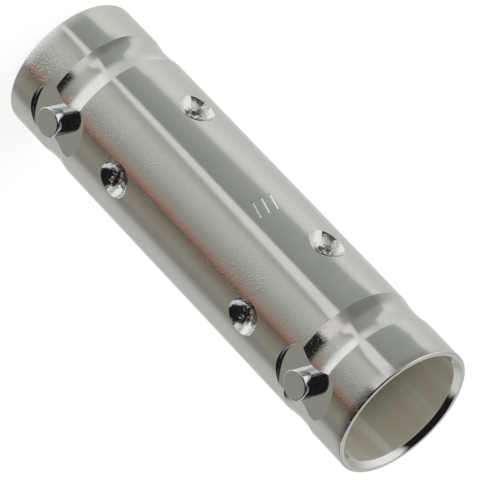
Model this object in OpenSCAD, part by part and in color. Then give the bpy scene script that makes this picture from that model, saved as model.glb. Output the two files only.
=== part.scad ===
// In-line coaxial coupler with a bayonet socket at both ends.
// The barrel stands on its lower mouth, its axis is Z and the origin is the centre of that mouth.
// The four bayonet lugs point along +X and -X. The upper half mirrors the lower half.

/* [Barrel] */
// Overall length, mouth to mouth
barrel_len = 33.5; // [31:0.5:40]
// Diameter of the bore that runs right through
bore_d = 8.3; // [8.1:0.05:8.6]
// Thickness of the barrel wall
wall = 0.65; // [0.6:0.05:0.8]
// Bevel on the outer edge of each mouth
rim_bevel = 0.1; // [0.05:0.01:0.15]
// Bevel that leads a plug into each mouth
lead_in = 0.35; // [0.2:0.05:0.4]

/* [Collars and grooves] */
// Length of the plain collar at each mouth
collar_len = 3.05; // [2.5:0.05:4]
// Width of the groove behind each collar
groove_w = 2.45; // [2.2:0.05:2.8]
// Depth of that groove at its middle
groove_depth = 0.13; // [0.08:0.01:0.2]

/* [Bayonet lugs] */
// Diameter of a lug
lug_d = 1.95; // [1.9:0.01:2.05]
// Distance across two opposite lugs
lug_span = 11.05; // [10.9:0.01:11.2]
// Bevel around the free end of a lug
lug_bevel = 0.1; // [0.05:0.01:0.2]
// Diameter of the round flat milled around a lug
lug_flat_d = 4.8; // [4.2:0.1:5]
// Metal left between that flat and the bore
lug_flat_skin = 0.35; // [0.25:0.01:0.4]

/* [Stakes] */
// Number of stakes in each ring
stake_count = 4; // [2:1:4]
// Turn of the stake rings about the axis, from the lugs
stake_turn = -1.5; // [-45:0.5:45]
// Width of a stake's crater on the barrel
stake_d = 2.45; // [2.2:0.05:2.6]
// Depth of the crater
stake_depth = 0.7; // [0.6:0.05:0.8]
// Thickness of the metal that each crater pushes inwards
stake_web = 0.3; // [0.25:0.05:0.35]
// Distance of a stake ring behind the bushing's open end
stake_setback = 1.75; // [1.5:0.05:2.2]

/* [Bushings] */
// Depth of a bushing's open end below the mouth
seat_depth = 8.5; // [8.3:0.1:9]
// Inner diameter of a bushing
bushing_bore_d = 6.5; // [6:0.1:6.8]
// Bevel on a bushing's edges
bushing_bevel = 0.2; // [0.1:0.05:0.25]

/* [Insulators] */
// Depth of an insulator's nose below the mouth
nose_depth = 3.65; // [3.5:0.05:3.75]
// Diameter of the nose
nose_d = 4.8; // [4.4:0.1:5]
// Bevel around the end of the nose
nose_bevel = 0.3; // [0.1:0.05:0.4]
// Thickness of the flange that the bushing clamps
flange_t = 1.0; // [0.8:0.1:1.5]
// Room left all round an insulator
insulator_gap = 0.03; // [0.02:0.01:0.06]

/* [Centre contact] */
// Diameter of the contact
contact_d = 2.1; // [2:0.05:2.2]
// Depth of the contact's end below the mouth
contact_depth = 3.7; // [3.65:0.05:3.95]
// Diameter of the hole that takes a plug's centre pin
socket_d = 1.36; // [1.32:0.01:1.4]
// Depth of that hole
socket_depth = 6.0; // [5:0.25:7]
// Width of the slots that make the end springy
slot_w = 0.25; // [0.2:0.01:0.26]
// Length of the slots
slot_len = 4.6; // [3.5:0.1:5]
// Diameter of the collar at the contact's middle
stop_d = 3.2; // [2.8:0.1:3.6]
// Length of that collar
stop_len = 1.6; // [1:0.1:1.8]
// Room around the springy end inside the insulator
flex_gap = 0.12; // [0.08:0.01:0.15]

/* [Hidden] */
$fn = 96;
over = 1;                                       // how far a cutter runs past the face it opens
bore_r = bore_d / 2;
barrel_r = bore_r + wall;
mid_z = barrel_len / 2;
// A groove is one hollow arc of this radius
groove_arc_r = (pow(groove_w / 2, 2) + pow(groove_depth, 2)) / (2 * groove_depth);
lug_r = lug_d / 2;
lug_z = collar_len + groove_w / 2;
lug_flat_r = bore_r + lug_flat_skin;            // distance of a lug's flat from the axis
lug_root_r = bore_r + lug_flat_skin / 2;        // a lug grows out of the wall from here
stake_z = seat_depth + stake_setback;
crater_r = (pow(stake_d / 2, 2) + pow(stake_depth, 2)) / (2 * stake_depth);
crater_centre = barrel_r - stake_depth + crater_r;
bump_r = crater_r + stake_web;
bump_reach = bore_r - (crater_centre - bump_r); // how far a stake stands into the bore
bump_half_w = sqrt(pow(bump_r, 2) - pow(crater_centre - bore_r, 2));
catch_gap = 0.05;                               // room between a stake and the bushing's groove
bushing_len = mid_z - seat_depth - flange_t;
bushing_bore_r = bushing_bore_d / 2;
contact_r = contact_d / 2;
stop_r = stop_d / 2;
drill_tip = socket_d / 2 * tan(30);             // cone left by a drill at the bottom of a hole
contact_lead = 0.15;                            // bevels at the contact's ends

// The ring-shaped cutter of one groove, with its middle at z = 0
module groove_cutter() {
    rotate_extrude() intersection() {
        translate([barrel_r - groove_depth + groove_arc_r, 0]) circle(groove_arc_r);
        translate([bore_r, -groove_w / 2]) square([wall + over, groove_w]);
    }
}

// A plain tube with both mouths bevelled inside and outside
module tube_blank() {
    rotate_extrude() polygon([
        [bore_r + lead_in, 0], [barrel_r - rim_bevel, 0],
        [barrel_r, rim_bevel], [barrel_r, barrel_len - rim_bevel],
        [barrel_r - rim_bevel, barrel_len], [bore_r + lead_in, barrel_len],
        [bore_r, barrel_len - lead_in], [bore_r, lead_in]
    ]);
}

// One lug, standing on the axis' X side with its free end bevelled
module lug() {
    rotate([0, 90, 0]) {
        translate([0, 0, lug_root_r]) cylinder(r = lug_r, h = lug_span / 2 - lug_bevel - lug_root_r);
        translate([0, 0, lug_span / 2 - lug_bevel])
            cylinder(r1 = lug_r, r2 = lug_r - lug_bevel, h = lug_bevel);
    }
}

// Places its children at every lug
module at_lugs() {
    for (z = [lug_z, barrel_len - lug_z], turn = [0, 180])
        translate([0, 0, z]) rotate([0, 0, turn]) children();
}

// Places its children at the centre of every stake's crater
module at_stakes() {
    for (z = [stake_z, barrel_len - stake_z], k = [0 : stake_count - 1])
        rotate([0, 0, stake_turn + k * 360 / stake_count]) translate([crater_centre, 0, z]) children();
}

// Barrel, milled lugs and stakes are one piece of metal
module shell() {
    color([0.75, 0.75, 0.72]) difference() {
        union() {
            difference() {
                tube_blank();
                for (z = [lug_z, barrel_len - lug_z]) translate([0, 0, z]) groove_cutter();
                at_lugs() rotate([0, 90, 0])
                    translate([0, 0, lug_flat_r]) cylinder(d = lug_flat_d, h = wall + over);
            }
            at_lugs() lug();
            intersection() {
                at_stakes() sphere(bump_r);
                translate([0, 0, over]) cylinder(r = bore_r + wall / 2, h = barrel_len - 2 * over);
            }
        }
        at_stakes() sphere(crater_r);
    }
}

// Half of the inner sleeve, in place at the lower end: its open end is the plug's seat
module bushing() {
    catch_top = bump_half_w + catch_gap;
    catch_floor_r = bore_r - bump_reach - catch_gap;
    catch_floor = catch_top - (bore_r - catch_floor_r) / 2;
    color([0.78, 0.77, 0.73]) translate([0, 0, seat_depth]) rotate_extrude() polygon([
        [bushing_bore_r + bushing_bevel, 0], [bore_r - bushing_bevel, 0], [bore_r, bushing_bevel],
        [bore_r, stake_setback - catch_top], [catch_floor_r, stake_setback - catch_floor],
        [catch_floor_r, stake_setback + catch_floor], [bore_r, stake_setback + catch_top],
        [bore_r, bushing_len - bushing_bevel], [bore_r - bushing_bevel, bushing_len],
        [bushing_bore_r, bushing_len], [bushing_bore_r, bushing_bevel]
    ]);
}

// One insulator, in place at the lower end, with its flange at the barrel's middle
module insulator() {
    hole_r = contact_r + insulator_gap;
    flex_r = contact_r + flex_gap;
    flex_z = contact_depth + socket_depth;
    pocket_r = stop_r + insulator_gap;
    nose_r = nose_d / 2;
    body_r = bushing_bore_r - insulator_gap;
    color([0.93, 0.93, 0.9]) rotate_extrude() polygon([
        [flex_r, nose_depth], [nose_r - nose_bevel, nose_depth], [nose_r, nose_depth + nose_bevel],
        [nose_r, seat_depth], [body_r, seat_depth], [body_r, mid_z - flange_t],
        [bore_r - 2 * insulator_gap, mid_z - flange_t], [bore_r - 2 * insulator_gap, mid_z],
        [pocket_r, mid_z], [pocket_r, mid_z - stop_len / 2],
        [hole_r, mid_z - stop_len / 2], [hole_r, flex_z], [flex_r, flex_z]
    ]);
}

// The hole, bevel and crossed slots of one end of the contact, cut from the end at z = 0 upwards
module socket_cutter() {
    translate([0, 0, -over]) cylinder(d = socket_d, h = socket_depth + over);
    translate([0, 0, socket_depth]) cylinder(d1 = socket_d, d2 = 0, h = drill_tip);
    translate([0, 0, -contact_lead])
        cylinder(d1 = socket_d + 4 * contact_lead, d2 = socket_d, h = 2 * contact_lead);
    for (turn = [45, 135])
        rotate([0, 0, turn]) translate([-contact_d, -slot_w / 2, -over])
            cube([2 * contact_d, slot_w, slot_len + over]);
}

// Turned contact with a springy socket at each end and a collar that the insulators hold
module centre_contact() {
    half = mid_z - contact_depth;
    color([0.86, 0.68, 0.32]) translate([0, 0, mid_z]) difference() {
        rotate_extrude() polygon([
            [0, -half], [contact_r - contact_lead, -half], [contact_r, contact_lead - half],
            [contact_r, -stop_len / 2], [stop_r, -stop_len / 2],
            [stop_r, stop_len / 2], [contact_r, stop_len / 2],
            [contact_r, half - contact_lead], [contact_r - contact_lead, half], [0, half]
        ]);
        translate([0, 0, -half]) socket_cutter();
        translate([0, 0, half]) mirror([0, 0, 1]) socket_cutter();
    }
}

// The same piece at the upper end, as the mirror image about the barrel's middle
module upper_end() {
    translate([0, 0, barrel_len]) mirror([0, 0, 1]) children();
}

shell();
bushing();  // bushing_bottom
upper_end() bushing();  // bushing_top
insulator();  // insulator_bottom
upper_end() insulator();  // insulator_top
centre_contact();
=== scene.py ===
"""A coaxial coupler with a bayonet socket at both ends, dressed and set up for its picture.

The coupler stands on its lower mouth and its axis is Z. Lengths are written in millimetres and
turned into metres by MM. The barrel is turned, milled, staked and marked anew, finer than its CAD
node, which it replaces. The inner pieces keep their CAD meshes and get their finishes here.
"""
import logging
import math
from dataclasses import dataclass
from enum import Enum
from typing import Any, Iterable, Sequence

import bpy
from mathutils import Matrix, Vector


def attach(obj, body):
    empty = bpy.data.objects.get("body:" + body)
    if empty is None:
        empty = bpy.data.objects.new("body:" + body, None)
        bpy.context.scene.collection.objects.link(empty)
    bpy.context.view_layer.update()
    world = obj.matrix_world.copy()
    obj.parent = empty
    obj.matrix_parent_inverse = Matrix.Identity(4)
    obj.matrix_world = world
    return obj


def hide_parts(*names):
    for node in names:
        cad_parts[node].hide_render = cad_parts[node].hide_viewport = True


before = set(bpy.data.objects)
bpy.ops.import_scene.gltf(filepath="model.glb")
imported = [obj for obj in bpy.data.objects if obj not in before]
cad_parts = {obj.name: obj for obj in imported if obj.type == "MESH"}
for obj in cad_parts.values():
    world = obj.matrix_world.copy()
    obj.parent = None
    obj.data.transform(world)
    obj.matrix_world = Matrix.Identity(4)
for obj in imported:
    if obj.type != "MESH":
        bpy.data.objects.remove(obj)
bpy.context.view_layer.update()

LOG = logging.getLogger("coupler")
MM = 0.001
DEGREES = 180 / math.pi
BODY = "root"

Point = tuple[float, float]
Span = tuple[float, float]
Corner = tuple[float, float, float]
Colour = tuple[float, float, float]
Triple = tuple[float, float, float]


# ---------------------------------------------------------------------------- shader expressions


class Signal:
    """A shader socket that can be used in Python expressions of numbers."""

    def __init__(self, graph: "Graph", socket: bpy.types.NodeSocket) -> None:
        """Wraps one output socket of a graph."""
        self.graph = graph
        self.socket = socket

    def _math(self, operation: str, *values: Any) -> "Signal":
        """Adds a Math node of one operation on the given values."""
        node = self.graph.node("ShaderNodeMath", {"operation": operation}, dict(enumerate(values)))
        return Signal(self.graph, node.outputs[0])

    def __add__(self, other: Any) -> "Signal":
        """self + other."""
        return self._math("ADD", self, other)

    __radd__ = __add__

    def __sub__(self, other: Any) -> "Signal":
        """self - other."""
        return self._math("SUBTRACT", self, other)

    def __mul__(self, other: Any) -> "Signal":
        """self * other."""
        return self._math("MULTIPLY", self, other)

    __rmul__ = __mul__

    def __truediv__(self, other: Any) -> "Signal":
        """self / other."""
        return self._math("DIVIDE", self, other)

    def __abs__(self) -> "Signal":
        """The size of self without its sign."""
        return self._math("ABSOLUTE", self)

    def maximum(self, other: Any) -> "Signal":
        """The greater of self and other."""
        return self._math("MAXIMUM", self, other)

    def root(self) -> "Signal":
        """The square root of self."""
        return self._math("SQRT", self)

    def between(self, low: float, high: float) -> "Signal":
        """Self, held between low and high."""
        return self.maximum(low)._math("MINIMUM", self.maximum(low), high)

    def sine(self) -> "Signal":
        """The sine of self, in radians."""
        return self._math("SINE", self)

    def fraction(self) -> "Signal":
        """What is left of self after its whole part is taken off."""
        return self._math("FRACT", self)

    def bearing(self, x: "Signal") -> "Signal":
        """The angle, in radians, of the direction (x, self)."""
        return self._math("ARCTAN2", self, x)

    def ramp(self, low: float, high: float) -> "Signal":
        """A smooth step: 0 at low, 1 at high, whichever of the two is greater.

        Args:
            low: value of self at which the step starts.
            high: value of self at which it ends.

        Returns:
            The step as a signal.
        """
        flip = high < low
        span = {"From Min": min(low, high), "From Max": max(low, high)}
        ends = {"To Min": 1.0 if flip else 0.0, "To Max": 0.0 if flip else 1.0}
        node = self.graph.node("ShaderNodeMapRange", {"interpolation_type": "SMOOTHSTEP"},
                               {"Value": self, **span, **ends})
        return Signal(self.graph, node.outputs["Result"])


class Graph:
    """The node tree of one material or world."""

    def __init__(self, tree: bpy.types.NodeTree) -> None:
        """Empties the tree and keeps it."""
        self.tree = tree
        tree.nodes.clear()

    def node(self, kind: str, settings: dict[str, Any] | None = None,
             inputs: dict[Any, Any] | None = None) -> bpy.types.Node:
        """Adds a node.

        Args:
            kind: the node's type.
            settings: its settings, which are set first. "stops" holds a ramp's stops.
            inputs: the value or the link of each socket, by name or number.

        Returns:
            The new node.
        """
        node = self.tree.nodes.new(kind)
        for name, value in (settings or {}).items():
            if name == "stops":
                self._set_stops(node.color_ramp, value)
            else:
                setattr(node, name, value)
        for key, value in (inputs or {}).items():
            if isinstance(value, Signal):
                self.tree.links.new(value.socket, node.inputs[key])
            elif isinstance(value, bpy.types.NodeSocket):
                self.tree.links.new(value, node.inputs[key])
            else:
                node.inputs[key].default_value = value
        return node

    @staticmethod
    def _set_stops(ramp: bpy.types.ColorRamp, stops: Sequence[tuple[float, Colour]]) -> None:
        """Gives a ramp the stops (place, colour), in rising order of place."""
        while len(ramp.elements) > 1:
            ramp.elements.remove(ramp.elements[-1])
        ramp.elements[0].position = stops[0][0]
        ramp.elements[0].color = (*stops[0][1], 1.0)
        for place, colour in stops[1:]:
            ramp.elements.new(place).color = (*colour, 1.0)

    def place(self) -> bpy.types.NodeSocket:
        """The place on the piece, in metres."""
        return self.node("ShaderNodeTexCoord").outputs["Object"]

    def axes(self, vector: bpy.types.NodeSocket) -> tuple[Signal, Signal, Signal]:
        """The X, Y and Z of a vector."""
        node = self.node("ShaderNodeSeparateXYZ", {}, {0: vector})
        return tuple(Signal(self, output) for output in node.outputs)

    def noise(self, vector: bpy.types.NodeSocket, grain: float, detail: float = 2.0,
              roughness: float = 0.5) -> Signal:
        """Soft noise from 0 to 1.

        Args:
            vector: where to read it.
            grain: size of its blobs in millimetres.
            detail: number of finer layers.
            roughness: weight of the finer layers.

        Returns:
            The noise as a signal.
        """
        node = self.node("ShaderNodeTexNoise", {}, {
            "Vector": vector, "Scale": 1 / (grain * MM), "Detail": detail, "Roughness": roughness})
        return Signal(self, node.outputs[0])

    def blend(self, share: Any, first: Any, second: Any) -> bpy.types.NodeSocket:
        """Mixes two colours: the share of the second is from 0 to 1."""
        node = self.node("ShaderNodeMix", {"data_type": "RGBA"}, {0: share, 6: first, 7: second})
        return node.outputs[2]

    def light_path(self, output: str) -> Signal:
        """One output of Light Path, such as Is Camera Ray."""
        return Signal(self, self.node("ShaderNodeLightPath").outputs[output])

    def bump(self, height: Signal, depth: float) -> bpy.types.NodeSocket:
        """A normal that follows a height from 0 to 1, which stands for depth millimetres."""
        node = self.node("ShaderNodeBump", {}, {"Height": height, "Strength": 1.0, "Distance": depth * MM})
        return node.outputs["Normal"]

    def surface(self, shader: bpy.types.NodeSocket, kind: str = "ShaderNodeOutputMaterial") -> None:
        """Makes a shader the surface of the tree's output."""
        self.node(kind, {}, {"Surface": shader})


def rgba(colour: Colour) -> tuple[float, float, float, float]:
    """A colour with full alpha."""
    return (*colour, 1.0)


def material(name: str) -> tuple[bpy.types.Material, Graph]:
    """A new node-based material and its graph."""
    made = bpy.data.materials.new(name)
    made.use_nodes = True
    return made, Graph(made.node_tree)


# ------------------------------------------------------------------------------------- finishes


@dataclass(frozen=True)
class NickelPlate:
    """Bright nickel over turned brass, with faint mottling, and fine specks mostly on the front.

    A span such as speck_span holds the noise level at which a feature starts and the level at
    which it is full. Grains and depths are in millimetres and bearings in degrees about the axis.
    """

    name: str = "nickel_plate"
    colour: Colour = (0.755, 0.75, 0.73)
    mottle_colour: Colour = (0.725, 0.725, 0.70)
    gloss: float = 0.075
    mottle_gloss: float = 0.03
    mottle_grain: float = 2.2
    mottle_span: Span = (0.35, 0.7)
    patch_grain: float = 3.74
    patch_span: Span = (0.42, 0.62)
    patch_floor: float = 0.55
    speck_grain: float = 0.13
    speck_span: Span = (0.54, 0.66)
    speck_depth: float = 0.0028
    speck_gloss: float = 0.12
    speck_bearing: float = -27.0
    speck_reach: Span = (26.0, 13.0)
    speck_elsewhere: float = 0.1

    def build(self) -> bpy.types.Material:
        """Returns the finished material."""
        made, graph = material(self.name)
        place = graph.place()
        mottle = graph.noise(place, self.mottle_grain, 3.0)
        patches = graph.noise(place, self.patch_grain).ramp(*self.patch_span).maximum(self.patch_floor)
        x, y, _ = graph.axes(place)
        front = abs(y.bearing(x) * DEGREES - self.speck_bearing).ramp(*self.speck_reach)
        share = front * (1 - self.speck_elsewhere) + self.speck_elsewhere
        specks = graph.noise(place, self.speck_grain, 1.0).ramp(*self.speck_span) * patches * share
        colour = graph.blend(mottle.ramp(*self.mottle_span), rgba(self.colour), rgba(self.mottle_colour))
        shader = graph.node("ShaderNodeBsdfPrincipled", {}, {
            "Base Color": colour,
            "Metallic": 1.0,
            "Roughness": self.gloss + self.mottle_gloss * mottle + self.speck_gloss * specks,
            "Normal": graph.bump(specks, self.speck_depth),
        })
        graph.surface(shader.outputs[0])
        return made


@dataclass(frozen=True)
class CutNickel:
    """Plate over a milled face: mirror smooth, with a trace of tool marks."""

    name: str = "cut_nickel"
    colour: Colour = (0.755, 0.775, 0.775)
    gloss: float = 0.06
    gloss_spread: float = 0.04
    mark_grain: float = 0.35
    mark_depth: float = 0.0006

    def build(self) -> bpy.types.Material:
        """Returns the finished material."""
        made, graph = material(self.name)
        marks = graph.noise(graph.place(), self.mark_grain, 2.0)
        shader = graph.node("ShaderNodeBsdfPrincipled", {}, {
            "Base Color": rgba(self.colour),
            "Metallic": 1.0,
            "Roughness": self.gloss + self.gloss_spread * marks,
            "Normal": graph.bump(marks, self.mark_depth),
        })
        graph.surface(shader.outputs[0])
        return made


@dataclass(frozen=True)
class PunchedNickel:
    """Plate in the punched craters: rippled all over, with a painted dark reflection in spots at the bottom.
    """

    name: str = "punched_nickel"
    colour: Colour = (0.775, 0.78, 0.765)
    # Colour of the painted dark reflection at the crater bottoms.
    dark_reflection_colour: Colour = (0.20, 0.20, 0.19)
    gloss: float = 0.08
    ripple_gloss: float = 0.04
    ripple_grain: float = 0.34
    ripple_depth: float = 0.042
    reflection_spot_grain: float = 0.26
    reflection_spot_span: Span = (0.42, 0.52)
    deep_r: float = 4.17
    shallow_r: float = 4.36

    def build(self) -> bpy.types.Material:
        """Returns the finished material."""
        made, graph = material(self.name)
        place = graph.place()
        x, y, _ = graph.axes(place)
        # Painted reflection: dark spots in the base colour at the crater bottoms, strongest where the crater
        # is deepest.
        depth = (x * x + y * y).root().ramp(self.shallow_r * MM, self.deep_r * MM)
        dark_reflection_spots = graph.noise(place, self.reflection_spot_grain, 2.0).ramp(*self.reflection_spot_span)
        ripples = graph.noise(place, self.ripple_grain, 2.0)
        shader = graph.node("ShaderNodeBsdfPrincipled", {}, {
            "Base Color": graph.blend(depth * dark_reflection_spots, rgba(self.colour), rgba(self.dark_reflection_colour)),
            "Metallic": 1.0,
            "Roughness": self.gloss + self.ripple_gloss * ripples,
            "Normal": graph.bump(ripples, self.ripple_depth),
        })
        graph.surface(shader.outputs[0])
        return made


@dataclass(frozen=True)
class BoreNickel:
    """Thin dull plate inside the barrel, with soft lengthwise streaks of painted reflection."""

    name: str = "bore_nickel"
    colour: Colour = (0.50, 0.475, 0.395)
    # Colour of the painted reflection streaks.
    reflection_streak_colour: Colour = (0.64, 0.61, 0.56)
    gloss: float = 0.5
    gloss_spread: float = 0.08
    gloss_grain: float = 0.7
    metal: float = 0.3
    reflection_streak_grain: float = 1.1
    reflection_streak_span: Span = (0.42, 0.68)
    reflection_streak_squeeze: float = 0.06

    def build(self) -> bpy.types.Material:
        """Returns the finished material."""
        made, graph = material(self.name)
        place = graph.place()
        stretched_place = graph.node("ShaderNodeMapping", {}, {"Vector": place, "Scale": (1, 1, self.reflection_streak_squeeze)})
        # Painted reflection: paler lengthwise streaks in the base colour.
        reflection_streaks = graph.noise(stretched_place.outputs[0], self.reflection_streak_grain, 3.0).ramp(*self.reflection_streak_span)
        shader = graph.node("ShaderNodeBsdfPrincipled", {}, {
            "Base Color": graph.blend(reflection_streaks, rgba(self.colour), rgba(self.reflection_streak_colour)),
            "Metallic": self.metal,
            "Roughness": self.gloss + self.gloss_spread * graph.noise(place, self.gloss_grain),
        })
        graph.surface(shader.outputs[0])
        return made


@dataclass(frozen=True)
class BushingPlate:
    """Duller plate over the turned sleeves inside, with fine turning rings."""

    name: str = "bushing_plate"
    colour: Colour = (0.62, 0.60, 0.54)
    worn_colour: Colour = (0.55, 0.52, 0.45)
    gloss: float = 0.3
    gloss_spread: float = 0.1
    wear_grain: float = 1.5
    wear_span: Span = (0.4, 0.65)
    ring_pitch: float = 0.12
    ring_depth: float = 0.001

    def build(self) -> bpy.types.Material:
        """Returns the finished material."""
        made, graph = material(self.name)
        place = graph.place()
        x, y, z = graph.axes(place)
        rings = ((z + (x * x + y * y).root()) * (math.tau / (self.ring_pitch * MM))).sine()
        wear = graph.noise(place, self.wear_grain, 3.0)
        shader = graph.node("ShaderNodeBsdfPrincipled", {}, {
            "Base Color": graph.blend(wear.ramp(*self.wear_span), rgba(self.colour), rgba(self.worn_colour)),
            "Metallic": 1.0,
            "Roughness": self.gloss + self.gloss_spread * wear,
            "Normal": graph.bump(rings * 0.5 + 0.5, self.ring_depth),
        })
        graph.surface(shader.outputs[0])
        return made


@dataclass(frozen=True)
class Fluoropolymer:
    """Waxy white plastic, turned, with a soft sheen and faint cloudiness."""

    name: str = "insulator_plastic"
    colour: Colour = (0.86, 0.85, 0.79)
    cloud_colour: Colour = (0.78, 0.76, 0.69)
    gloss: float = 0.42
    gloss_spread: float = 0.12
    cloud_grain: float = 0.9
    cloud_span: Span = (0.35, 0.7)
    skin_grain: float = 0.08
    skin_depth: float = 0.003

    def build(self) -> bpy.types.Material:
        """Returns the finished material."""
        made, graph = material(self.name)
        place = graph.place()
        cloud = graph.noise(place, self.cloud_grain, 3.0)
        skin = graph.noise(place, self.skin_grain, 2.0)
        shader = graph.node("ShaderNodeBsdfPrincipled", {}, {
            "Base Color": graph.blend(cloud.ramp(*self.cloud_span), rgba(self.colour),
                                      rgba(self.cloud_colour)),
            "Roughness": self.gloss + self.gloss_spread * cloud,
            "Normal": graph.bump(skin, self.skin_depth),
        })
        graph.surface(shader.outputs[0])
        return made


@dataclass(frozen=True)
class GoldPlate:
    """Thin gold over the sprung contact, paler where it has been wiped."""

    name: str = "contact_gold"
    colour: Colour = (0.86, 0.64, 0.28)
    wiped_colour: Colour = (0.88, 0.72, 0.42)
    gloss: float = 0.2
    gloss_spread: float = 0.1
    wiped_grain: float = 0.6
    wiped_span: Span = (0.45, 0.7)
    skin_grain: float = 0.1
    skin_depth: float = 0.001

    def build(self) -> bpy.types.Material:
        """Returns the finished material."""
        made, graph = material(self.name)
        place = graph.place()
        wiped = graph.noise(place, self.wiped_grain, 2.0)
        shader = graph.node("ShaderNodeBsdfPrincipled", {}, {
            "Base Color": graph.blend(wiped.ramp(*self.wiped_span), rgba(self.colour),
                                      rgba(self.wiped_colour)),
            "Metallic": 1.0,
            "Roughness": self.gloss + self.gloss_spread * wiped,
            "Normal": graph.bump(graph.noise(place, self.skin_grain), self.skin_depth),
        })
        graph.surface(shader.outputs[0])
        return made


# ------------------------------------------------------------------------------ modelling tools


class Side(Enum):
    """The two ends of the coupler, as the sign of the way from its middle."""

    LOWER = -1
    UPPER = 1


def deselect() -> None:
    """Leaves nothing selected."""
    bpy.ops.object.select_all(action="DESELECT")


def activate(piece: bpy.types.Object) -> None:
    """Makes a piece the only selected and the active object."""
    deselect()
    piece.select_set(True)
    bpy.context.view_layer.objects.active = piece


def join(pieces: Sequence[bpy.types.Object], name: str) -> bpy.types.Object:
    """Joins separate pieces into one object.

    Args:
        pieces: the objects, the first of which stays.
        name: the name of the result.

    Returns:
        The joined object.
    """
    activate(pieces[0])
    for piece in pieces[1:]:
        piece.select_set(True)
    if len(pieces) > 1:
        bpy.ops.object.join()
    pieces[0].name = name
    return pieces[0]


def settle(piece: bpy.types.Object) -> None:
    """Moves a piece's place and turn into its mesh."""
    activate(piece)
    bpy.ops.object.transform_apply(location=True, rotation=True, scale=True)


def rounded(corners: Iterable[Corner], arc_step: float = 15.0) -> list[Point]:
    """Rounds the corners of an open outline.

    Args:
        corners: radius, height and fillet radius of each corner, in millimetres.
        arc_step: degrees between the points of a fillet.

    Returns:
        The outline's points.
    """
    todo = list(corners)
    outline: list[Point] = [todo[0][:2]]
    for before, here, after in zip(todo, todo[1:], todo[2:]):
        centre = Vector(here[:2])
        back = Vector(before[:2]) - centre
        ahead = Vector(after[:2]) - centre
        turn = math.pi - back.angle(ahead)
        if here[2] <= 0 or turn < 0.01:
            outline.append(here[:2])
            continue
        run = here[2] * math.tan(turn / 2)
        start = centre + back.normalized() * run
        end = centre + ahead.normalized() * run
        count = max(2, math.ceil(math.degrees(turn) / arc_step))
        middle = centre + (back.normalized() + ahead.normalized()).normalized() * (
            math.hypot(run, here[2]))
        first = (start - middle).normalized()
        last = (end - middle).normalized()
        for k in range(count + 1):
            share = k / count
            spoke = first.slerp(last, share) if share < 1 else last
            outline.append(tuple(middle + spoke * here[2]))
    outline.append(todo[-1][:2])
    return outline


def spin_outline(outline: Sequence[Point], steps: int, name: str) -> bpy.types.Object:
    """Draws a closed outline beside the axis and spins it into a turned piece.

    Args:
        outline: radius and height of each point, in millimetres.
        steps: number of steps in the turn.
        name: the piece's name.

    Returns:
        The turned piece.
    """
    deselect()
    bpy.ops.mesh.primitive_plane_add(size=MM, location=(0, 0, 0))
    piece = bpy.context.object
    piece.name = name
    bpy.ops.object.mode_set(mode="EDIT")
    bpy.ops.mesh.select_mode(type="VERT")
    bpy.ops.mesh.select_all(action="SELECT")
    bpy.ops.mesh.merge(type="CENTER")
    bpy.ops.transform.translate(value=(outline[0][0] * MM, 0, outline[0][1] * MM))
    for before, here in zip(outline, outline[1:]):
        step = ((here[0] - before[0]) * MM, 0, (here[1] - before[1]) * MM)
        bpy.ops.mesh.extrude_vertices_move(TRANSFORM_OT_translate={"value": step})
    bpy.ops.mesh.select_all(action="SELECT")
    bpy.ops.mesh.edge_face_add()
    bpy.ops.mesh.delete(type="ONLY_FACE")
    bpy.ops.mesh.select_all(action="SELECT")
    bpy.ops.mesh.spin(steps=steps, angle=math.tau, center=(0, 0, 0), axis=(0, 0, 1))
    bpy.ops.mesh.select_all(action="SELECT")
    bpy.ops.mesh.remove_doubles(threshold=0.0001 * MM)
    bpy.ops.mesh.normals_make_consistent(inside=False)
    bpy.ops.object.mode_set(mode="OBJECT")
    return piece


def apply_modifier(piece: bpy.types.Object, kind: str, name: str, **settings: Any) -> None:
    """Adds one modifier to a piece and applies it."""
    activate(piece)
    modifier = piece.modifiers.new(name, kind)
    for key, value in settings.items():
        setattr(modifier, key, value)
    bpy.ops.object.modifier_apply(modifier=modifier.name)


def carve(piece: bpy.types.Object, tool: bpy.types.Object, operation: str) -> None:
    """Cuts, joins or intersects a piece with a tool and throws the tool away."""
    apply_modifier(piece, "BOOLEAN", f"{operation.lower()}_{tool.name}", object=tool, operation=operation,
                   solver="EXACT", material_mode="TRANSFER")
    bpy.data.objects.remove(tool)


# ----------------------------------------------------------------------------------- the barrel


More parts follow.
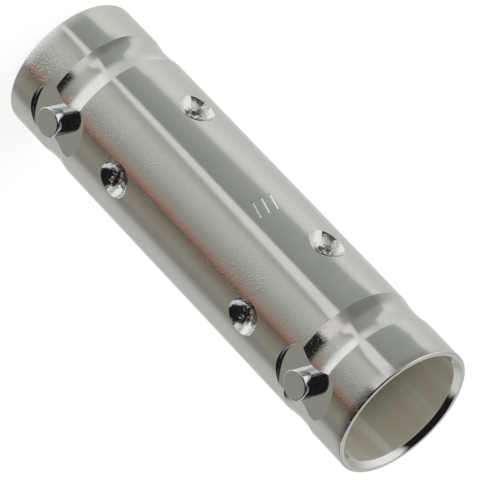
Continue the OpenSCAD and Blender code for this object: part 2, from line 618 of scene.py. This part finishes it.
@dataclass
class Barrel:
    """The turned tube with its grooves, milled bayonet lugs, staked craters and plain marks.

    A field that ends in _r is a radius or a distance from the axis. One that ends in _from_middle
    is a distance from the barrel's middle, and one that ends in _turn is a turn about its axis.
    """

    length: float = 33.5
    bore_r: float = 4.15
    outer_r: float = 4.8
    rim_round: float = 0.1
    lead_in: float = 0.35
    collar: float = 3.05
    groove_w: float = 2.45
    groove_depth: float = 0.13
    groove_round: float = 0.2
    lip_round: float = 0.06
    bore_round: float = 0.12
    lug_r: float = 0.975
    lug_tip_r: float = 5.525
    lug_round: float = 0.1
    lug_sunk: float = 0.12
    flat_half_w: float = 2.4
    flat_floor_r: float = 4.5
    flat_round: float = 0.02
    stake_from_middle: float = 6.5
    stake_turn: float = -1.5
    stake_count: int = 4
    crater_half_w: float = 1.23
    crater_depth: float = 0.7
    web: float = 0.3
    mark_half_w: float = 0.13
    mark_depth: float = 0.055
    mark_length: float = 1.3
    mark_slant: float = -14.0
    mark_turn: float = -73.6
    mark_pitch: float = 8.0
    mark_from_middle: float = 2.2
    plain_rows: int = 9
    groove_rows: int = 22
    steps: int = 576
    flat_sides: int = 192
    lug_sides: int = 128
    core_sides: int = 256
    ball_sides: int = 96
    ball_rings: int = 64
    smooth_angle: float = 28.0
    merge_reach: float = 0.0005
    node: str = "shell"

    @property
    def middle(self) -> float:
        """Height of the barrel's middle."""
        return self.length / 2

    @property
    def crater_ball(self) -> float:
        """Radius of the ball that leaves a crater."""
        return (self.crater_half_w ** 2 + self.crater_depth ** 2) / (2 * self.crater_depth)

    @property
    def crater_centre(self) -> float:
        """Distance of that ball's centre from the axis."""
        return self.outer_r - self.crater_depth + self.crater_ball

    @property
    def lug_from_middle(self) -> float:
        """Distance of a lug from the barrel's middle."""
        return self.middle - self.collar - self.groove_w / 2

    def half_corners(self) -> list[Corner]:
        """Corners of the upper half's outline, from the middle outside to the middle inside."""
        top = self.length
        groove_top = top - self.collar
        groove_low = groove_top - self.groove_w
        arc_r = ((self.groove_w / 2) ** 2 + self.groove_depth ** 2) / (2 * self.groove_depth)
        arc_x = self.outer_r - self.groove_depth + arc_r
        arc_z = (groove_top + groove_low) / 2
        row = (groove_low - self.middle) / self.plain_rows
        plain = [(self.outer_r, self.middle + k * row, 0.0) for k in range(self.plain_rows)]
        reach = math.asin(self.groove_w / 2 / arc_r)
        groove = []
        for k in range(self.groove_rows + 1):
            turn = reach * (2 * k / self.groove_rows - 1)
            edge = self.groove_round if k in (0, self.groove_rows) else 0.0
            groove.append((arc_x - arc_r * math.cos(turn), arc_z + arc_r * math.sin(turn), edge))
        lip = self.bore_r + self.lead_in
        bore_top = top - self.lead_in
        row = (bore_top - self.middle) / self.plain_rows
        bore = [(self.bore_r, bore_top - k * row, 0.0) for k in range(1, self.plain_rows + 1)]
        return [
            *plain, *groove,
            (self.outer_r, groove_top + self.collar / 3, 0.0),
            (self.outer_r, groove_top + 2 * self.collar / 3, 0.0),
            (self.outer_r, top, self.rim_round),
            (lip, top, self.lip_round), (self.bore_r, bore_top, self.bore_round), *bore,
        ]

    def blank(self) -> bpy.types.Object:
        """Turns the tube."""
        upper = rounded(self.half_corners())
        lower = [(r, self.length - z) for r, z in reversed(upper)]
        return spin_outline(upper + lower[1:-1], self.steps, "barrel")

    def lug_places(self) -> list[tuple[float, Side]]:
        """Turn about the axis, in degrees, and end of each lug."""
        return [(turn, side) for side in Side for turn in (0.0, 180.0)]

    def stake_places(self) -> list[tuple[float, Side]]:
        """Turn about the axis, in degrees, and end of each stake."""
        pitch = 360 / self.stake_count
        return [(self.stake_turn + k * pitch, side) for side in Side for k in range(self.stake_count)]

    def rod(self, radius: float, start: float, end: float, sides: int, edge: float,
            facing: Side = Side.UPPER) -> bpy.types.Object:
        """A round bar along X with one rounded edge.

        Args:
            radius: radius of the bar.
            start: where the bar starts, from the axis.
            end: where it ends.
            sides: number of points round it.
            edge: radius of the rounded edge.
            facing: which end's edge is rounded, where the upper end is the one far from the axis.

        Returns:
            The bar.
        """
        deselect()
        bpy.ops.mesh.primitive_cylinder_add(
            vertices=sides, radius=radius * MM, depth=(end - start) * MM, end_fill_type="NGON",
            rotation=(0, math.pi / 2, 0), location=((start + end) / 2 * MM, 0, 0))
        piece = bpy.context.object
        settle(piece)
        if edge > 0:
            bpy.ops.object.mode_set(mode="EDIT")
            bpy.ops.mesh.select_mode(type="FACE")
            bpy.ops.mesh.select_all(action="DESELECT")
            bpy.ops.object.mode_set(mode="OBJECT")
            for face in piece.data.polygons:
                face.select = face.normal.x * facing.value > 0.99
            bpy.ops.object.mode_set(mode="EDIT")
            bpy.ops.mesh.bevel(offset=edge * MM, segments=4, affect="EDGES")
            bpy.ops.object.mode_set(mode="OBJECT")
        return piece

    def repeat(self, model: bpy.types.Object, places: Iterable[tuple[float, Side]], height: float,
               name: str) -> bpy.types.Object:
        """Copies a model, made at height zero, to every place.

        Args:
            model: the model, which is thrown away.
            places: turn and end of each copy.
            height: distance of the places from the barrel's middle.
            name: name of the joined copies.

        Returns:
            All copies as one object.
        """
        copies = []
        for turn, side in places:
            copy = model.copy()
            copy.data = model.data.copy()
            bpy.context.scene.collection.objects.link(copy)
            lift = Matrix.Translation((0, 0, (self.middle + side.value * height) * MM))
            copy.data.transform(lift @ Matrix.Rotation(math.radians(turn), 4, "Z"))
            copies.append(copy)
        bpy.data.objects.remove(model)
        return join(copies, name)

    def ball(self, radius: float) -> bpy.types.Object:
        """A fine ball whose centre is where a stake's punch would be."""
        deselect()
        bpy.ops.mesh.primitive_uv_sphere_add(
            segments=self.ball_sides, ring_count=self.ball_rings, radius=radius * MM,
            rotation=(0, math.pi / 2, 0), location=(self.crater_centre * MM, 0, 0))
        piece = bpy.context.object
        settle(piece)
        return piece

    def core(self) -> bpy.types.Object:
        """A round bar inside the barrel that keeps the bumps out of its outer skin."""
        deselect()
        bpy.ops.mesh.primitive_cylinder_add(
            vertices=self.core_sides, radius=(self.outer_r + self.bore_r) / 2 * MM,
            depth=(self.length - 4) * MM, location=(0, 0, self.middle * MM))
        piece = bpy.context.object
        piece.name = "core"
        settle(piece)
        return piece

    def mill_lugs(self, piece: bpy.types.Object, cut: bpy.types.Material) -> None:
        """Mills the round flats and stands a lug on each."""
        flat = self.rod(self.flat_half_w, self.flat_floor_r, self.outer_r + 1, self.flat_sides,
                        self.flat_round, Side.LOWER)
        lug = self.rod(self.lug_r, self.flat_floor_r - self.lug_sunk, self.lug_tip_r, self.lug_sides,
                       self.lug_round)
        for model, name, operation in ((flat, "flats", "DIFFERENCE"), (lug, "lugs", "UNION")):
            tool = self.repeat(model, self.lug_places(), self.lug_from_middle, name)
            tool.data.materials.append(cut)
            carve(piece, tool, operation)

    def stake(self, piece: bpy.types.Object, plate: bpy.types.Material,
              punched: bpy.types.Material) -> None:
        """Punches the craters, each with a bump behind it in the bore."""
        bumps = self.repeat(self.ball(self.crater_ball + self.web), self.stake_places(),
                            self.stake_from_middle, "bumps")
        bumps.data.materials.append(plate)
        craters = self.repeat(self.ball(self.crater_ball), self.stake_places(),
                              self.stake_from_middle, "craters")
        craters.data.materials.append(punched)
        carve(bumps, self.core(), "INTERSECT")
        carve(piece, bumps, "UNION")
        carve(piece, craters, "DIFFERENCE")

    def marks(self, cut: bpy.types.Material) -> bpy.types.Object:
        """The cutters of three plain strokes beside each other, V-shaped and slightly slanted."""
        deselect()
        place = self.outer_r + self.mark_half_w - self.mark_depth
        bpy.ops.mesh.primitive_cylinder_add(
            vertices=4, radius=self.mark_half_w * MM, depth=self.mark_length * MM,
            rotation=(math.radians(self.mark_slant), 0, 0), location=(place * MM, 0, 0))
        stroke = bpy.context.object
        settle(stroke)
        stroke.data.materials.append(cut)
        places = [(self.mark_turn + k * self.mark_pitch, Side.UPPER) for k in (-1, 0, 1)]
        return self.repeat(stroke, places, self.mark_from_middle, "marks")

    def line_bore(self, piece: bpy.types.Object, dull: bpy.types.Material) -> None:
        """Gives the faces of the bore, which look at the axis, a finish of their own."""
        piece.data.materials.append(dull)
        last = len(piece.data.materials) - 1
        for face in piece.data.polygons:
            inward = face.normal.xy.dot(face.center.xy) < 0
            if inward and face.center.xy.length < (self.bore_r + 0.02) * MM:
                face.material_index = last

    def finish_edges(self, piece: bpy.types.Object) -> None:
        """Merges what the cuts left double, shades smooth and weighs the normals by area."""
        activate(piece)
        bpy.ops.object.mode_set(mode="EDIT")
        bpy.ops.mesh.select_all(action="SELECT")
        bpy.ops.mesh.remove_doubles(threshold=self.merge_reach * MM)
        bpy.ops.object.mode_set(mode="OBJECT")
        bpy.ops.object.shade_smooth_by_angle(angle=math.radians(self.smooth_angle))
        apply_modifier(piece, "WEIGHTED_NORMAL", "even_normals", weight=50, keep_sharp=True)

    def build(self, plate: bpy.types.Material, cut: bpy.types.Material, punched: bpy.types.Material,
              dull: bpy.types.Material) -> bpy.types.Object:
        """Models and dresses the barrel.

        Args:
            plate: finish of the turned faces.
            cut: finish of the milled faces and the marks.
            punched: finish of the craters.
            dull: finish of the bore.

        Returns:
            The finished piece.
        """
        piece = self.blank()
        piece.data.materials.append(plate)
        self.mill_lugs(piece, cut)
        self.stake(piece, plate, punched)
        carve(piece, self.marks(cut), "DIFFERENCE")
        self.line_bore(piece, dull)
        self.finish_edges(piece)
        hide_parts(self.node)
        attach(piece, BODY)
        return piece


@dataclass
class InnerParts:
    """The bushings, insulators and contact, which keep their CAD meshes."""

    bushings: tuple[str, ...] = ("bushing_bottom", "bushing_top")
    insulators: tuple[str, ...] = ("insulator_bottom", "insulator_top")
    contacts: tuple[str, ...] = ("centre_contact",)

    def dress(self, bushing: bpy.types.Material, plastic: bpy.types.Material,
              gold: bpy.types.Material) -> list[str]:
        """Gives each node its finish.

        Args:
            bushing: finish of the sleeves.
            plastic: finish of the insulators.
            gold: finish of the contact.

        Returns:
            The names of the dressed nodes.
        """
        done = []
        for names, finish in ((self.bushings, bushing), (self.insulators, plastic), (self.contacts, gold)):
            for name in names:
                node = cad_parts[name]
                node.data.materials.clear()
                node.data.materials.append(finish)
                done.append(name)
        return done


# ---------------------------------------------------------------------------------- the picture


@dataclass
class LightTent:
    """A tent round the coupler that only its bright metal mirrors.

    A bearing is a turn about the axis from the front, and a rise is an angle over the horizon, both
    in degrees. The tent has four rows of soft upright bands, each given by bearing and colour: feet
    near the ground, bands below the horizon, horizon, and upper. A span such as upper_rise holds the
    angles where a blend starts and ends. The crown is dark at the front and overhead. The lamps are
    pale patches, each given by bearing, rise, half its width and half its height. Below open_rise
    the tent is open, and the white surroundings show. The drifts slant two of the bands' edges.
    """

    radius: float = 500.0
    centre: float = 16.75
    front: float = -40.6
    bands: tuple[tuple[float, Colour], ...] = (
        (-180, (0.76, 0.76, 0.75)), (-170, (0.76, 0.76, 0.75)), (-160, (0.66, 0.66, 0.64)),
        (-140, (0.63, 0.63, 0.61)), (-120, (0.66, 0.66, 0.63)), (-100, (0.76, 0.765, 0.73)),
        (-86, (0.73, 0.735, 0.70)), (-80, (0.43, 0.45, 0.42)), (-70, (0.375, 0.40, 0.365)),
        (-56, (0.345, 0.375, 0.34)), (-35.5, (0.30, 0.315, 0.29)), (-32.5, (0.80, 0.80, 0.77)),
        (-23.5, (0.80, 0.79, 0.77)), (-20.5, (0.43, 0.43, 0.405)), (-15, (0.45, 0.45, 0.415)),
        (-8, (0.56, 0.56, 0.525)), (0, (0.55, 0.555, 0.52)), (16, (0.475, 0.48, 0.445)),
        (30, (0.355, 0.355, 0.31)), (40, (0.35, 0.30, 0.265)), (44, (0.36, 0.25, 0.215)),
        (50, (0.32, 0.18, 0.15)), (54, (0.17, 0.115, 0.095)), (58, (0.20, 0.165, 0.135)),
        (72, (0.285, 0.265, 0.225)), (82, (0.315, 0.305, 0.26)), (98, (0.265, 0.258, 0.228)),
        (106, (0.36, 0.36, 0.335)), (113, (0.50, 0.505, 0.475)), (130, (0.56, 0.565, 0.54)),
        (152, (0.53, 0.53, 0.515)), (180, (0.80, 0.80, 0.79)),
    )
    horizon: tuple[tuple[float, Colour], ...] = (
        (-180, (0.80, 0.80, 0.78)), (-140, (0.60, 0.60, 0.58)), (-104, (0.45, 0.45, 0.43)),
        (-88, (0.26, 0.26, 0.25)), (-62, (0.24, 0.24, 0.23)), (-46, (0.20, 0.20, 0.19)),
        (-30, (0.35, 0.34, 0.33)), (-20, (0.75, 0.73, 0.72)), (2, (0.80, 0.77, 0.76)),
        (12, (0.02, 0.02, 0.02)), (60, (0.012, 0.012, 0.012)), (128, (0.03, 0.03, 0.03)),
        (140, (0.50, 0.50, 0.48)), (180, (0.80, 0.80, 0.78)),
    )
    feet: tuple[tuple[float, Colour], ...] = (
        (-180, (0.85, 0.85, 0.85)), (-110, (0.78, 0.78, 0.77)), (-70, (0.62, 0.63, 0.61)),
        (-35, (0.75, 0.75, 0.73)), (-20, (1.0, 1.0, 1.0)), (44, (1.0, 1.0, 1.0)),
        (58, (0.40, 0.38, 0.37)), (100, (0.36, 0.35, 0.34)), (180, (0.85, 0.85, 0.85)),
    )
    upper: tuple[tuple[float, Colour], ...] = (
        (-180, (0.62, 0.62, 0.61)), (-150, (0.45, 0.45, 0.44)), (-135, (0.60, 0.60, 0.59)),
        (-120, (0.85, 0.85, 0.85)), (-105, (1.0, 1.0, 1.0)), (-75, (1.0, 1.0, 1.0)),
        (-60, (0.70, 0.70, 0.69)), (-30, (0.35, 0.35, 0.34)), (-15, (0.05, 0.05, 0.05)),
        (-8, (0.015, 0.015, 0.015)), (88, (0.015, 0.015, 0.015)),
        (96, (0.40, 0.40, 0.39)), (106, (0.75, 0.75, 0.74)),
        (128, (0.70, 0.70, 0.69)), (145, (0.42, 0.42, 0.41)), (180, (0.62, 0.62, 0.61)),
    )
    lamps: tuple[tuple[float, float, float, float], ...] = (
        (-7.0, 3.0, 9.0, 0.5), (-7.0, 10.0, 9.0, 0.4), (66.0, 4.0, 1.0, 16.0), (104.0, -4.0, 1.6, 9.0),
        (88.0, -3.0, 12.0, 0.8), (24.0, 12.0, 1.2, 14.0), (44.0, 6.0, 1.2, 10.0),
    )
    lamp_edge: float = 1.0
    feet_rise: Span = (-33.0, -42.0)
    horizon_rise: Span = (-23.0, -15.0)
    upper_rise: Span = (-5.0, 4.0)
    crown_rise: Span = (44.0, 50.0)
    crown_sides: tuple[Span, Span] = ((-62.0, -46.0), (118.0, 96.0))
    overhead_rise: Span = (60.0, 68.0)
    open_rise: float = -62.0
    drift_middle: float = -28.0
    drift_half_rise: float = 3.1
    drift_reach: float = 1.2
    edge_drift: float = 9.4
    edge_sides: tuple[Span, Span] = ((-130.0, -90.0), (-45.0, -75.0))
    streak_drift: float = 4.4
    streak_sides: tuple[Span, Span] = ((-32.0, -26.0), (-8.0, -18.0))
    dark: Colour = (0.012, 0.012, 0.013)
    pale: Colour = (0.88, 0.88, 0.86)

    def build(self) -> bpy.types.Object:
        """Builds the tent and hides it from all but mirrored light."""
        deselect()
        bpy.ops.mesh.primitive_uv_sphere_add(segments=96, ring_count=64, radius=self.radius * MM)
        tent = bpy.context.object
        tent.name = "light_tent"
        bpy.ops.object.mode_set(mode="EDIT")
        bpy.ops.mesh.select_all(action="SELECT")
        foot = self.radius * math.sin(math.radians(self.open_rise))
        bpy.ops.mesh.bisect(plane_co=(0, 0, foot * MM), plane_no=(0, 0, 1), clear_inner=True)
        bpy.ops.object.mode_set(mode="OBJECT")
        tent.data.transform(Matrix.Translation((0, 0, self.centre * MM)))
        for ray in ("camera", "diffuse", "transmission", "volume_scatter", "shadow"):
            setattr(tent, f"visible_{ray}", False)
        tent.data.materials.append(self.paint())
        return tent

    @staticmethod
    def strips(graph: Graph, lap: Signal, stops: Sequence[tuple[float, Colour]]) -> bpy.types.NodeSocket:
        """A run of upright bands.

        Args:
            graph: the paint's graph.
            lap: way round the tent, from 0 to 1, with the front at 0.5.
            stops: bearing and colour of each band.

        Returns:
            The colour at that way round.
        """
        places = [(0.5 + bearing / 360, colour) for bearing, colour in stops]
        return graph.node("ShaderNodeValToRGB", {"stops": places}, {0: lap}).outputs[0]

    @staticmethod
    def within(bearing: Signal, sides: tuple[Span, Span]) -> Signal:
        """1 between two soft sides and 0 outside them."""
        return bearing.ramp(*sides[0]) * bearing.ramp(*sides[1])

    def paint(self) -> bpy.types.Material:
        """The tent's paint, which gives off its own soft light."""
        made, graph = material("tent_paint")
        x, y, z = graph.axes(graph.place())
        rise = (z - self.centre * MM).bearing((x * x + y * y).root()) * DEGREES
        lap = ((y.bearing(x) * DEGREES - self.front) / 360 + 0.5).fraction()
        bearing = (lap - 0.5) * 360
        climb = (rise - self.drift_middle) / self.drift_half_rise
        climb = climb.between(-self.drift_reach, self.drift_reach)
        edge = self.within(bearing, self.edge_sides) * self.edge_drift
        streak = self.within(bearing, self.streak_sides) * self.streak_drift
        low = self.strips(graph, lap + (edge - streak) * climb / 360, self.bands)
        level = self.strips(graph, lap, self.horizon)
        foot = self.strips(graph, lap, self.feet)
        side = self.strips(graph, lap, self.upper)
        crown = rise.ramp(*self.crown_rise) * self.within(bearing, self.crown_sides)
        crown = crown.maximum(rise.ramp(*self.overhead_rise))
        colour = graph.blend(rise.ramp(*self.horizon_rise), low, level)
        colour = graph.blend(rise.ramp(*self.upper_rise), colour, graph.blend(crown, side, rgba(self.dark)))
        colour = graph.blend(rise.ramp(*self.feet_rise), colour, foot)
        for middle, height, wide, tall in self.lamps:
            across = abs(bearing - middle).ramp(wide + self.lamp_edge, wide - self.lamp_edge)
            upright = abs(rise - height).ramp(tall + self.lamp_edge, tall - self.lamp_edge)
            colour = graph.blend(across * upright, colour, rgba(self.pale))
        glow = graph.node("ShaderNodeEmission", {}, {"Color": colour, "Strength": 1.0})
        graph.surface(glow.outputs[0])
        return made


@dataclass
class Studio:
    """Floor, surroundings and lamp."""

    floor_size: float = 2400.0
    floor_colour: Colour = (0.9, 0.9, 0.9)
    floor_lift: float = 0.86
    fill: float = 0.75
    lamp_power: float = 1.3
    lamp_size: float = 260.0
    lamp_place: Triple = (-160.0, -120.0, 420.0)

    def build(self) -> list[str]:
        """Builds the set and returns the names of what it made."""
        return [self.floor().name, self.surroundings().name, self.lamp().name, LightTent().build().name]

    def floor(self) -> bpy.types.Object:
        """A pale floor that reads white and keeps a soft shadow."""
        deselect()
        bpy.ops.mesh.primitive_plane_add(size=self.floor_size * MM, location=(0, 0, 0))
        floor = bpy.context.object
        floor.name = "floor"
        floor.visible_glossy = False
        made, graph = material("floor_paper")
        seen = graph.light_path("Is Camera Ray")
        paper = graph.node("ShaderNodeBsdfDiffuse", {}, {"Color": rgba(self.floor_colour)})
        glow = graph.node("ShaderNodeEmission", {}, {"Color": rgba((1.0, 1.0, 1.0)), "Strength": 1.0})
        mixed = graph.node("ShaderNodeMixShader", {}, {
            0: seen * self.floor_lift, 1: paper.outputs[0], 2: glow.outputs[0]})
        graph.surface(mixed.outputs[0])
        floor.data.materials.append(made)
        return floor

    def surroundings(self) -> bpy.types.World:
        """White to the eye and to bright metal, and a plain level of light to the rest."""
        world = bpy.data.worlds.new("surroundings")
        bpy.context.scene.world = world
        world.use_nodes = True
        graph = Graph(world.node_tree)
        seen = graph.light_path("Is Camera Ray").maximum(graph.light_path("Is Glossy Ray")).maximum(
            graph.light_path("Is Transmission Ray"))
        back = graph.node("ShaderNodeBackground", {}, {
            "Color": rgba((1.0, 1.0, 1.0)), "Strength": self.fill + (1 - self.fill) * seen})
        graph.surface(back.outputs[0], "ShaderNodeOutputWorld")
        return world

    def lamp(self) -> bpy.types.Object:
        """One large soft lamp overhead, which the metal doesn't mirror."""
        data = bpy.data.lights.new("soft_lamp", "AREA")
        data.shape = "DISK"
        data.size = self.lamp_size * MM
        data.energy = self.lamp_power
        lamp = bpy.data.objects.new("soft_lamp", data)
        bpy.context.scene.collection.objects.link(lamp)
        lamp.location = Vector(self.lamp_place) * MM
        lamp.rotation_euler = (-lamp.location).to_track_quat("-Z", "Y").to_euler()
        lamp.visible_glossy = False
        return lamp


@dataclass
class Viewpoint:
    """The camera: where it stands, how it is rolled and what it aims at. Angles are in degrees."""

    azimuth: float = 49.3
    elevation: float = 28.1
    roll: float = 136.46
    distance: float = 325.0
    aim: Triple = (-0.218, 0.124, 17.208)
    lens: float = 396.6
    sensor: float = 36.0
    clip: Span = (10.0, 10000.0)

    def build(self) -> bpy.types.Object:
        """Builds the camera and makes it the scene's."""
        turn = math.radians(self.azimuth)
        rise = math.radians(self.elevation)
        back = Vector((math.sin(turn) * math.cos(rise), -math.cos(turn) * math.cos(rise), math.sin(rise)))
        data = bpy.data.cameras.new("camera")
        data.lens = self.lens
        data.sensor_width = self.sensor
        data.clip_start = self.clip[0] * MM
        data.clip_end = self.clip[1] * MM
        camera = bpy.data.objects.new("camera", data)
        bpy.context.scene.collection.objects.link(camera)
        camera.location = (Vector(self.aim) + back * self.distance) * MM
        facing = back.to_track_quat("Z", "Y").to_matrix()
        camera.rotation_euler = (facing @ Matrix.Rotation(math.radians(self.roll), 3, "Z")).to_euler()
        bpy.context.scene.camera = camera
        bpy.context.scene.view_settings.view_transform = "Standard"
        return camera


def main() -> None:
    """Builds the coupler, then its set."""
    logging.basicConfig(level=logging.INFO, format="%(name)s: %(message)s")
    camera = Viewpoint().build()
    LOG.info("camera %s", camera.name)
    barrel = Barrel().build(NickelPlate().build(), CutNickel().build(), PunchedNickel().build(),
                            BoreNickel().build())
    LOG.info("piece %s with %d faces", barrel.name, len(barrel.data.polygons))
    for name in InnerParts().dress(BushingPlate().build(), Fluoropolymer().build(), GoldPlate().build()):
        LOG.info("dressed %s", name)
    for name in Studio().build():
        LOG.info("set %s", name)


if __name__ == "__main__":
    main()
